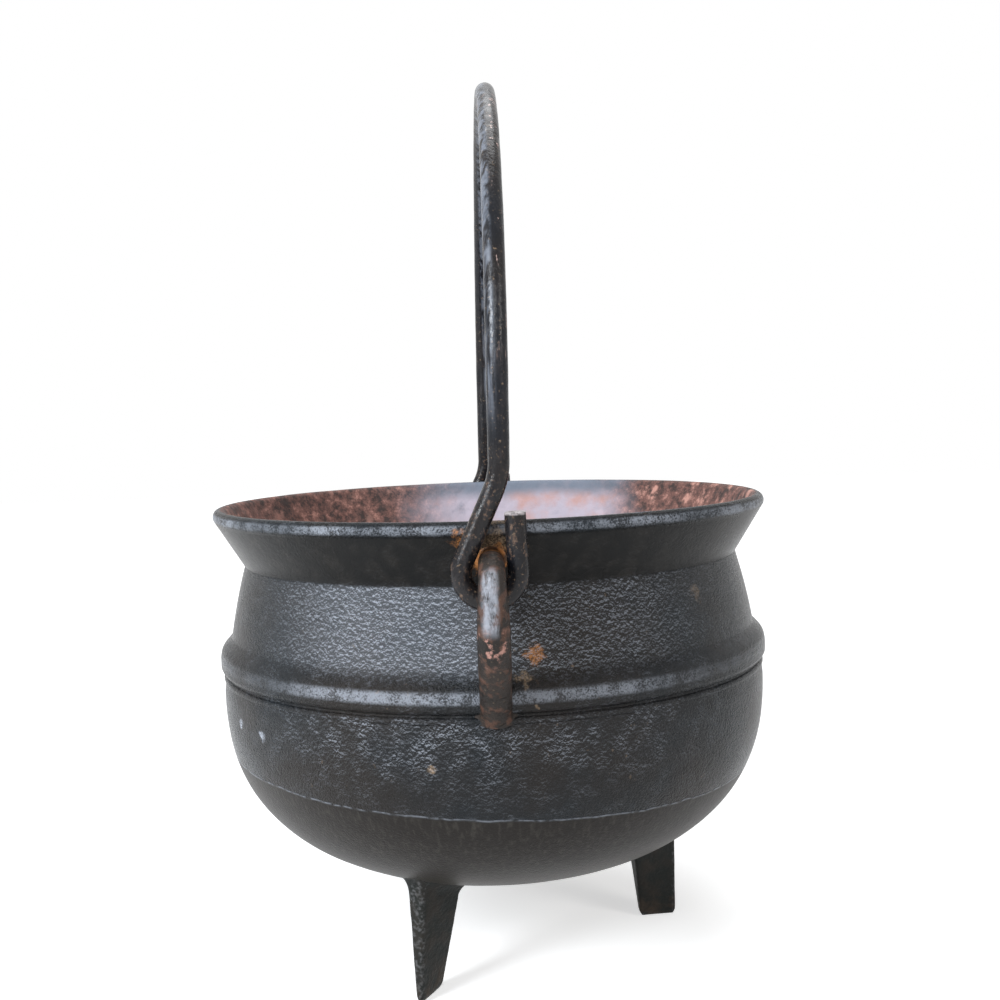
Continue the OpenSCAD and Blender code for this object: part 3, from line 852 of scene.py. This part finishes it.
def loft(name, rings):
    """A closed piece through rings of as many points each, with flat ends."""
    count = len(rings[0])
    points = [tuple(point) for ring in rings for point in ring]
    faces = []
    for level in range(len(rings) - 1):
        for k in range(count):
            a, b = level * count + k, level * count + (k + 1) % count
            faces.append((a, b, b + count, a + count))
    faces.append(tuple(range(count))[::-1])
    faces.append(tuple((len(rings) - 1) * count + k for k in range(count)))
    piece = new_piece(name, points, faces=faces)
    shape = bmesh.new()
    shape.from_mesh(piece.data)
    bmesh.ops.remove_doubles(shape, verts=shape.verts, dist=1e-7)
    bmesh.ops.recalc_face_normals(shape, faces=shape.faces)
    shape.to_mesh(piece.data)
    shape.free()
    return piece


def cast_piece(piece, context, material, seed, sag=0.6, grain=1.0):
    """Gives a lofted piece its uneven skin and makes it plain."""
    skin = context.scene.pot_skin
    use_tree(piece, "Cast piece", sag=skin.sag * sag, sag_size=skin.sag_size * 0.4,
             grain=skin.grain * grain, grain_size=skin.grain_size * 0.8, seed=seed,
             along_normal=1.0, centre=(0, 0, 0), material=material)
    return make_plain(piece)


class POT_OT_trees(Operator):
    """Makes the node trees and the finishes that the pieces share"""

    bl_idname = "pot.trees"
    bl_label = "Trees and finishes"

    def execute(self, context):
        skin_tree()
        turned_tree()
        cast_tree()
        rod_tree()
        pot_finish(context, "pot iron", 0.14)
        # A duller copy of the pot iron for the rim: its lower shine makes the flare's underside dark, a
        # painted shade.
        pot_finish(context, "shaded rim iron", 0.07)
        ear_finish(context)
        leg_finish(context)
        bail_finish(context)
        return {"FINISHED"}


class POT_OT_bowl(Operator):
    """Turns the bowl: its shoulder, belly and bottom, and its inside"""

    bl_idname = "pot.bowl"
    bl_label = "Bowl"

    def execute(self, context):
        body = context.scene.pot_body
        outer = even_points(side_line(body, 0), 1.5 * MM)
        inner = even_points(side_line(body, body.wall), 2.5 * MM)[::-1]
        outline = np.concatenate([outer, inner, outer[:1]])
        inside = [0.0] * len(outer) + [1.0] * len(inner) + [0.0]
        piece = turned_piece("pot_bowl", outline, inside, context, bpy.data.materials["pot iron"], 1.0)
        settle(piece, "pot", "pot_iron", "bowl")
        return {"FINISHED"}


class POT_OT_rim(Operator):
    """Turns the flared rim with its rounded lip"""

    bl_idname = "pot.rim"
    bl_label = "Rim"

    def execute(self, context):
        body = context.scene.pot_body
        line = even_points(lip_line(body), 0.7 * MM)
        outline = np.concatenate([line, line[:1]])
        top = int(np.argmax(line[:, 1]))
        passed = np.arange(len(outline)) - top
        inside = np.clip(0.5 + passed / 12, 0, 1)
        inside[-1] = 0.0
        piece = turned_piece("pot_rim", outline, inside, context, bpy.data.materials["shaded rim iron"], 1.0)
        settle(piece, "pot", "pot_iron", "rim")
        return {"FINISHED"}


class POT_OT_ribs(Operator):
    """Turns the rib at the shoulder and the fine bead under it"""

    bl_idname = "pot.ribs"
    bl_label = "Ribs"

    def execute(self, context):
        body = context.scene.pot_body
        iron = bpy.data.materials["pot iron"]
        wall = side_line(body, 0)
        tuck, foot = 0.8 * MM, 0.12 * MM

        def wall_at(height):
            return np.interp(height, wall[::-1, 1], wall[::-1, 0])

        height = np.linspace(RIB_HIGH.z + 2.4 * MM, RIB_LOW.z - 0.5 * MM, 46)
        t = (height - RIB_LOW.z) / (RIB_HIGH.z - RIB_LOW.z)
        upper = np.clip((1.08 - t) / 0.50, 0, 1)
        lower = np.clip((t + 0.02) / 0.42, 0, 1)
        swell = np.sin(upper * math.pi / 2) ** 1.6 * np.sqrt(np.clip(1 - (1 - lower) ** 2.0, 0, 1))
        radius = np.minimum(wall_at(height) - foot + (body.rib_reach + foot) * swell, RIB_HIGH.x)
        radius[0], radius[-1] = wall_at(height[0]) - tuck * 0.3, wall_at(height[-1]) - tuck * 0.5
        front = np.stack([radius, height], axis=1)
        back = np.array([[wall_at(end) - 2 * tuck, end] for end in (height[-1], height[0])])
        outline = np.concatenate([front, back, front[:1]])
        piece = turned_piece("shoulder_rib_band", outline, [0.0] * len(outline), context, iron, 1.0)
        settle(piece, "pot", "pot_iron", "shoulder_rib")

        turn = np.linspace(0, math.pi, 13)
        middle, half = (BEAD_HIGH.z + BEAD_LOW.z) / 2, (BEAD_HIGH.z - BEAD_LOW.z) / 2
        height = middle + half * np.cos(turn)
        radius = wall_at(height) - 0.15 * MM + (body.bead_proud + 0.15 * MM) * np.sin(turn)
        front = np.stack([radius, height], axis=1)
        back = front[::-1] - [2 * tuck, 0]
        outline = np.concatenate([front, back[[0, -1]], front[:1]])
        piece = turned_piece("fine_bead_ring", outline, [0.0] * len(outline), context, iron, 1.0)
        settle(piece, "pot", "pot_iron", "fine_bead")
        return {"FINISHED"}


class POT_OT_ears(Operator):
    """Bends the two ears and grows them out of the body"""

    bl_idname = "pot.ears"
    bl_label = "Ears"

    def execute(self, context):
        body, ear = context.scene.pot_body, context.scene.pot_ears
        iron = bpy.data.materials["ear iron"]
        arm_root = body.neck_radius
        pen = Pen((0, -arm_root, PIVOT.z), (0, -1, 0), 0.5 * MM)
        pen.run(ear.elbow_start - arm_root)
        arm_end = len(pen.points) + 6
        pen.bend(ear.elbow_radius, math.pi / 2, X_AXIS)
        pen.run(ear.bar_length)
        bar_end = len(pen.points)
        pen.bend(ear.bend_radius, ear.slope, X_AXIS)
        tail = (ear.elbow_start + ear.elbow_radius - body.band_radius) / math.sin(ear.slope)
        pen.run(tail)
        path = np.array([tuple(point) for point in pen.points])
        swell = np.interp(np.arange(len(path)), [0, arm_end, bar_end], [0, 0, 1])
        radius = (ear.arm + (ear.bar - ear.arm) * swell * swell * (3 - 2 * swell)) / 2
        way = np.gradient(path, axis=0)
        way /= np.linalg.norm(way, axis=1)[:, None]
        sides = np.linspace(0, 2 * math.pi, 48, endpoint=False)
        across = np.array([1.0, 0, 0])
        rings, centres = [], []
        for place, heading, size in zip(path, way, radius):
            third = np.cross(heading, across)
            flat = np.sign(np.cos(sides)) * np.abs(np.cos(sides)) ** 0.94
            deep = np.sign(np.sin(sides)) * np.abs(np.sin(sides)) ** 0.94
            rings.append(place + size * (flat[:, None] * across + deep[:, None] * third))
            centres.append(np.repeat(place[None], len(sides), axis=0))
        fillets = np.interp(np.arange(len(path)), [arm_end, bar_end], [ear.arm_fillet, ear.foot_fillet])
        places = grow_from_skin(body, np.concatenate(rings), np.concatenate(centres),
                                np.repeat(fillets, len(sides)), 1.6 * MM)
        places = places.reshape(len(rings), len(sides), 3)
        for name, node, turn, seed in (("ear_front_loop", "ear_front", 0, 3.0),
                                       ("ear_back_loop", "ear_back", math.pi, 5.0)):
            spin = np.array(Matrix.Rotation(turn, 3, "Z"))
            piece = loft(name, places @ spin.T)
            piece = cast_piece(piece, context, iron, seed, sag=0.5)
            settle(piece, "pot", "ear_iron", node)
        return {"FINISHED"}


class POT_OT_legs(Operator):
    """Tapers the three keel-shaped legs and grows them out of the belly"""

    bl_idname = "pot.legs"
    bl_label = "Legs"

    def execute(self, context):
        body, leg = context.scene.pot_body, context.scene.pot_legs
        iron = bpy.data.materials["leg iron"]
        belly = belly_line(body, 0)
        sunk = 1.6 * MM

        def outline(height, inset):
            """Rounded keel shape of one level: narrow outside and wide inside."""
            root = 50 * MM
            depth = leg.depth + (leg.root_depth - leg.depth) * height / root
            outer = leg.outer_width / 2 + leg.outer_growth * height / 2
            inner = leg.inner_width / 2 + leg.inner_growth * height / 2
            r = leg.rounding
            corners = (
                (outer - r, -(leg.radius - r), -90, 0),
                (inner - r, -(leg.radius - depth + r), 0, 90),
                (-(inner - r), -(leg.radius - depth + r), 90, 180),
                (-(outer - r), -(leg.radius - r), 180, 270),
            )
            made = []
            for x, y, start, end in corners:
                for turn in np.radians(np.linspace(start, end, 7)):
                    made.append((x + (r - inset) * math.cos(turn), y + (r - inset) * math.sin(turn)))
            made.append(made[0])
            return even_points(made, 0.75 * MM)

        sole = 3 * MM
        levels = np.concatenate([[0.0], np.linspace(0.12, 1, 7) ** 2 * sole,
                                 np.linspace(4 * MM, 55 * MM, 60)])
        rings, centres = [], []
        count = 72
        for level in levels:
            inset = 1.1 * MM * (1 - min(1, level / sole)) ** 2
            ring = outline(level, inset)
            passed = np.concatenate([[0], np.cumsum(np.linalg.norm(np.diff(ring, axis=0), axis=1))])
            at = np.linspace(0, passed[-1], count, endpoint=False)
            flat = np.stack([np.interp(at, passed, ring[:, k]) for k in range(2)], axis=1)
            place = np.column_stack([flat, np.full(count, level)])
            rings.append(place)
            centres.append(np.repeat(place.mean(0)[None], count, axis=0))
        places = grow_from_skin(body, np.concatenate(rings), np.concatenate(centres), leg.fillet, sunk)
        places = places.reshape(len(rings), count, 3)
        for k, name in enumerate(("leg_front_left", "leg_right", "leg_back_left")):
            spin = np.array(Matrix.Rotation(leg.first_turn + k * 2 * math.pi / 3, 3, "Z"))
            piece = loft(name + "_keel", places @ spin.T)
            piece = cast_piece(piece, context, iron, 7.0 + k, sag=0.7, grain=1.2)
            settle(piece, "pot", "leg_iron", name)
        return {"FINISHED"}


class POT_OT_bail(Operator):
    """Bends the bail: its arch, its legs and the two open eyes round the ears' arms"""

    bl_idname = "pot.bail"
    bl_label = "Bail"

    def execute(self, context):
        bail, skin = context.scene.pot_bail, context.scene.pot_skin
        radius, slope, tip = bail.eye_radius, bail.slope, bail.tip_slope
        knee = bail.knee_radius

        def slope_run(shift):
            drawn_in = knee * (1 - math.cos(slope)) + bail.eye_shift - radius * math.cos(slope)
            return (shift - drawn_in) / math.sin(slope)

        def knee_level(shift):
            return (-bail.eye_drop + radius * math.sin(slope) + slope_run(shift) * math.cos(slope)
                    + knee * math.sin(slope))

        centre = Vector((bail.eye_shift, -bail.plane, -bail.eye_drop))
        start = centre + radius * Vector((math.cos(tip), 0, math.sin(tip)))
        start += bail.tip_length * Vector((-math.sin(tip), 0, math.cos(tip)))
        across = Vector((bail.back_shift - bail.front_shift, 2 * bail.plane, 0))
        arch = across.length / 2
        arch_base = bail.height - arch
        pen = Pen(start, (math.sin(tip), 0, -math.cos(tip)), 0.9 * MM)
        pen.run(bail.tip_length)
        pen.bend(radius, math.pi + slope + tip, Y_AXIS)
        pen.run(slope_run(bail.front_shift))
        pen.bend(knee, slope, -Y_AXIS)
        pen.run(arch_base - knee_level(bail.front_shift))
        pen.bend(arch, math.pi, Z_AXIS.cross(across).normalized())
        pen.run(arch_base - knee_level(bail.back_shift))
        pen.bend(knee, slope, Y_AXIS)
        pen.run(slope_run(bail.back_shift))
        pen.bend(radius, math.pi + slope + tip, -Y_AXIS)
        pen.run(bail.tip_length)
        frame_turn = Matrix.Translation(PIVOT) @ Matrix.Rotation(bail.lean, 4, "Y")
        points = [frame_turn @ point for point in pen.points]
        piece = new_piece("bail_rod", points, [(k, k + 1) for k in range(len(points) - 1)])
        height = np.array([point.z for point in points])
        thick = np.interp(height, [150 * MM, 200 * MM, 240 * MM], [bail.eye_rod, bail.eye_rod, bail.rod]) / 2
        keep_values(piece, "thick", thick)
        use_tree(piece, "Forged rod", sides=44, end_round=0.35 * MM, end_dish=1.0 * MM,
                 sag=0.22 * MM, sag_size=11 * MM, grain=0.10 * MM, grain_size=3.5 * MM, seed=11.0,
                 along_normal=1.0, centre=(0, 0, 0), material=bpy.data.materials["bail iron"])
        make_plain(piece)
        settle(piece, "bail", "bail_iron", "bail_arch", "bail_eye_front", "bail_eye_back")
        return {"FINISHED"}


class POT_OT_stage(Operator):
    """Sets the pale floor, the soft lamps and the camera"""

    bl_idname = "pot.stage"
    bl_label = "Stage"

    def execute(self, context):
        stage = context.scene.pot_stage
        side = stage.floor_size / 2
        corners = [(-side, -side, 0), (side, -side, 0), (side, side, 0), (-side, side, 0)]
        floor = new_piece("floor", corners, faces=[(0, 1, 2, 3)])
        floor.data.materials.append(self.floor_finish())
        self.light_world(context)
        lamps = (
            ("key", (-0.87, -0.78, 0.70), 0.50, 19.0, (0.92, 0.96, 1.0)),
            ("front", (-0.12, -1.15, 0.84), 0.35, 4.0, (0.96, 0.98, 1.0)),
            ("fill", (0.95, -0.80, 0.70), 0.45, 4.5, (1.0, 0.97, 0.94)),
            ("top", (0.05, 0.30, 1.35), 0.90, 9.0, (0.96, 0.98, 1.0)),
        )
        for name, place, size, power, tint in lamps:
            self.add_lamp(context, name, Vector(place), size, power, tint)
        self.add_camera(context, stage)
        return {"FINISHED"}

    def floor_finish(self):
        """Pale floor that looks white and keeps the pot's shadow."""
        material = bpy.data.materials.new("pale floor")
        material.use_nodes = True
        tree = material.node_tree
        tree.nodes.clear()
        s = Nodes(tree)
        pale = s.add("ShaderNodeBsdfDiffuse", {"Color": (0.80, 0.80, 0.80)}).outputs[0]
        place = s.add("ShaderNodeTexCoord").outputs["Object"]
        bright = s.between(s.vector("LENGTH", place), 0.35, 1.6, 0.55, 1.0)
        glow = s.add("ShaderNodeEmission", {"Color": (1.0, 1.0, 1.0), "Strength": bright}).outputs[0]
        lit = s.add("ShaderNodeAddShader", {0: pale, 1: glow}).outputs[0]
        seen = self.seen_rays(s)
        both = s.add("ShaderNodeMixShader", {0: seen, 1: pale, 2: lit}).outputs[0]
        s.add("ShaderNodeOutputMaterial", {"Surface": both})
        return material

    def seen_rays(self, s):
        """1 for what the camera sees, also in gloss and through glass."""
        path = s.add("ShaderNodeLightPath").outputs
        mirrored = s.math("MAXIMUM", path["Is Glossy Ray"], path["Is Transmission Ray"])
        return s.math("MAXIMUM", path["Is Camera Ray"], mirrored)

    def light_world(self, context):
        world = bpy.data.worlds.new("studio")
        world.use_nodes = True
        tree = world.node_tree
        tree.nodes.clear()
        s = Nodes(tree)
        strength = s.blend(self.seen_rays(s), 0.25, 1.0)
        light = s.add("ShaderNodeBackground", {"Color": (1.0, 1.0, 1.0), "Strength": strength})
        s.add("ShaderNodeOutputWorld", {"Surface": light.outputs[0]})
        context.scene.world = world

    def add_lamp(self, context, name, place, size, power, tint):
        data = bpy.data.lights.new(name, "AREA")
        data.shape, data.size, data.energy, data.color = "DISK", size, power, tint
        lamp = bpy.data.objects.new(name, data)
        pot_middle = Vector((0, 0, 0.11))
        turn = (pot_middle - place).to_track_quat("-Z", "Y").to_matrix().to_4x4()
        lamp.matrix_world = Matrix.Translation(place) @ turn
        context.scene.collection.objects.link(lamp)

    def add_camera(self, context, stage):
        turn = stage.camera_turn
        place = Vector((-stage.camera_reach * math.sin(turn), -stage.camera_reach * math.cos(turn),
                        stage.camera_level))
        aim = turn + stage.pan
        ahead = Vector((math.sin(aim) * math.cos(stage.tilt), math.cos(aim) * math.cos(stage.tilt),
                        -math.sin(stage.tilt)))
        right = ahead.cross(Z_AXIS).normalized()
        up = right.cross(ahead)
        rolled = right * math.cos(stage.roll) + up * math.sin(stage.roll)
        upright = up * math.cos(stage.roll) - right * math.sin(stage.roll)
        view = Matrix((rolled, upright, -ahead)).transposed().to_4x4()
        data = bpy.data.cameras.new("view")
        data.sensor_width, data.lens, data.clip_start = 36.0, stage.lens, 0.01
        camera = bpy.data.objects.new("view", data)
        camera.matrix_world = Matrix.Translation(place) @ view
        context.scene.collection.objects.link(camera)
        context.scene.camera = camera
        context.scene.view_settings.view_transform = "Standard"


OPERATORS = (POT_OT_trees, POT_OT_bowl, POT_OT_rim, POT_OT_ribs, POT_OT_ears, POT_OT_legs, POT_OT_bail,
             POT_OT_stage)


class POT_PT_sidebar(Panel):
    """Lists the pot's sizes, colours and steps in the 3D view's sidebar"""

    bl_idname = "POT_PT_sidebar"
    bl_label = "Bean pot"
    bl_space_type = "VIEW_3D"
    bl_region_type = "UI"
    bl_category = "Bean pot"

    def draw(self, context):
        for name, group in GROUPS.items():
            box = self.layout.box()
            box.label(text=group.__doc__)
            for field in group.__annotations__:
                box.prop(getattr(context.scene, name), field)
        for operator in OPERATORS:
            self.layout.operator(operator.bl_idname)


def register():
    for group in GROUPS.values():
        bpy.utils.register_class(group)
    for name, group in GROUPS.items():
        setattr(bpy.types.Scene, name, PointerProperty(type=group))
    for made in (*OPERATORS, POT_PT_sidebar):
        bpy.utils.register_class(made)


def unregister():
    for made in reversed((*OPERATORS, POT_PT_sidebar)):
        bpy.utils.unregister_class(made)
    for name in GROUPS:
        delattr(bpy.types.Scene, name)
    for group in reversed(tuple(GROUPS.values())):
        bpy.utils.unregister_class(group)


def main():
    """Registers the tools and builds every piece in order."""
    register()
    for operator in OPERATORS:
        group, name = operator.bl_idname.split(".")
        getattr(getattr(bpy.ops, group), name)()


if __name__ == "__main__":
    main()
